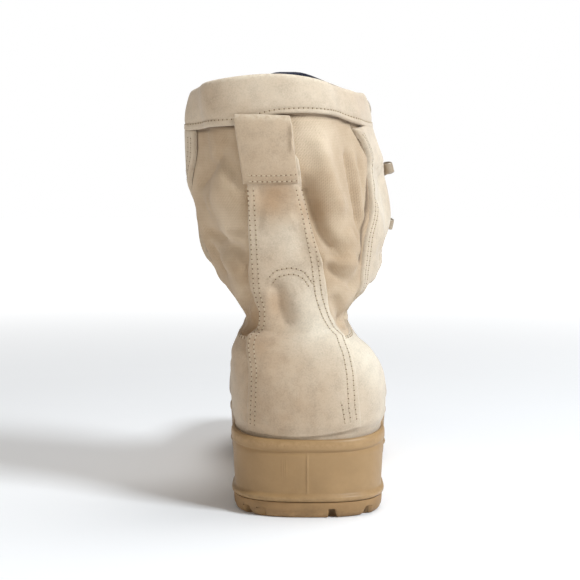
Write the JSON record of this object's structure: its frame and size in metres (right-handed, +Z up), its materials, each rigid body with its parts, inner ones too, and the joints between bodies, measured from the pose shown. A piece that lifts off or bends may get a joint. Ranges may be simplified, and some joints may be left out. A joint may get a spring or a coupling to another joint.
{
  "type": "combat boot",
  "caption": "Right tan desert combat boot with a slack nylon shaft, suede overlays, pull loop, speed hooks, eyelets, padded tongue and a moulded two-part sole",
  "frame": {"origin": "on the floor under the middle of the heel, on the flat of the heel's tread", "axes": "+Y to the toe, +X to the wearer's right, which is the outer side, +Z up"},
  "size_m": [0.1255, 0.3067, 0.2611],
  "materials": {
    "outsole_rubber": "matte moulded rubber",
    "foxing": "moulded polyurethane, faint sheen",
    "insole": "woven cover on foam",
    "suede": "rough-out suede, worn",
    "nylon": "fine woven nylon",
    "suede_tab": "rough-out suede",
    "lining": "open mesh",
    "hardware": "baked paint, rubbed at the edges",
    "lace": "woven round cord"
  },
  "bodies": {
    "root": {"outsole": "outsole_rubber", "midsole": "foxing", "insole": "insole", "upper": "suede", "tongue": "lining", "pull_loop": "suede_tab", "lace": "lace", "collar_eyelet_lateral": "hardware", "eyelet_lateral_1": "hardware", "eyelet_lateral_2": "hardware", "eyelet_lateral_3": "hardware", "eyelet_lateral_4": "hardware", "hook_lateral_1": "hardware", "hook_lateral_2": "hardware", "hook_lateral_3": "hardware", "collar_eyelet_medial": "hardware", "eyelet_medial_1": "hardware", "eyelet_medial_2": "hardware", "eyelet_medial_3": "hardware", "eyelet_medial_4": "hardware", "hook_medial_1": "hardware", "hook_medial_2": "hardware", "hook_medial_3": "hardware"}
  },
  "joints": []
}
